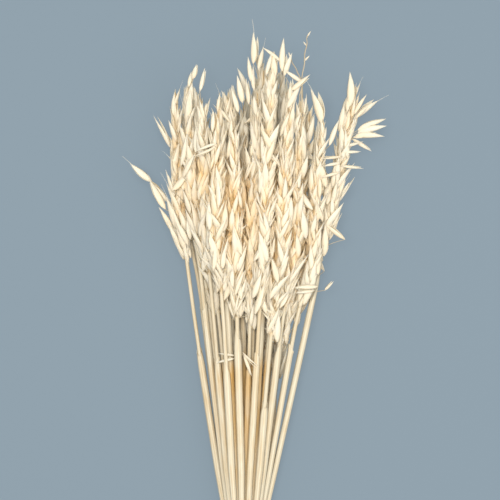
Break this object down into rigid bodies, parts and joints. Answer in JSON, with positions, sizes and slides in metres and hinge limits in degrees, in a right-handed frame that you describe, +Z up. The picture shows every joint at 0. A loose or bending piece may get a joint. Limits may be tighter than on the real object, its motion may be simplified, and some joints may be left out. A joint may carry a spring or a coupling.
{
  "type": "dried oat bundle",
  "caption": "Loose bundle of bleached dried oat stalks with drooping seed heads, fanned out from one elastic band and lying flat.",
  "frame": {"origin": "middle of the footprint on the surface that the bundle lies on", "axes": "+Z up from that surface, +Y along the stalks from the cut ends towards the seed heads, +X to the right when looking down with the heads at the top"},
  "size_m": [0.2502, 0.612, 0.0855],
  "materials": {
    "oat_straw": "bleached dried straw and papery husks, matt with a faint silky sheen along the grain",
    "oat_husk": "thin translucent papery husks, fine lengthwise veins, golden where light passes through",
    "band_rubber": "smooth natural latex band, satin"
  },
  "bodies": {
    "root": {"oat_stalk_01": "oat_straw", "oat_stalk_02": "oat_straw", "oat_stalk_03": "oat_straw", "oat_stalk_04": "oat_straw", "oat_stalk_05": "oat_straw", "oat_stalk_06": "oat_straw", "oat_stalk_07": "oat_straw", "oat_stalk_08": "oat_straw", "oat_stalk_09": "oat_straw", "oat_stalk_10": "oat_straw", "oat_stalk_11": "oat_straw", "oat_stalk_12": "oat_straw", "oat_stalk_13": "oat_straw", "oat_stalk_14": "oat_straw", "oat_stalk_15": "oat_straw", "oat_stalk_16": "oat_straw", "oat_stalk_17": "oat_straw", "oat_stalk_18": "oat_straw", "oat_stalk_19": "oat_straw", "oat_stalk_20": "oat_straw", "oat_stalk_21": "oat_straw", "oat_stalk_22": "oat_straw", "oat_stalk_23": "oat_straw", "oat_stalk_24": "oat_straw", "oat_stalk_25": "oat_straw", "oat_stalk_26": "oat_straw", "oat_stalk_27": "oat_straw", "oat_stalk_28": "oat_straw", "oat_stalk_29": "oat_straw", "oat_stalk_30": "oat_straw", "oat_stalk_31": "oat_straw", "oat_stalk_32": "oat_straw", "oat_stalk_33": "oat_straw", "oat_stalk_34": "oat_straw", "oat_stalk_35": "oat_straw", "oat_stalk_36": "oat_straw", "oat_stalk_37": "oat_straw", "elastic_band": "band_rubber"}
  },
  "joints": []
}
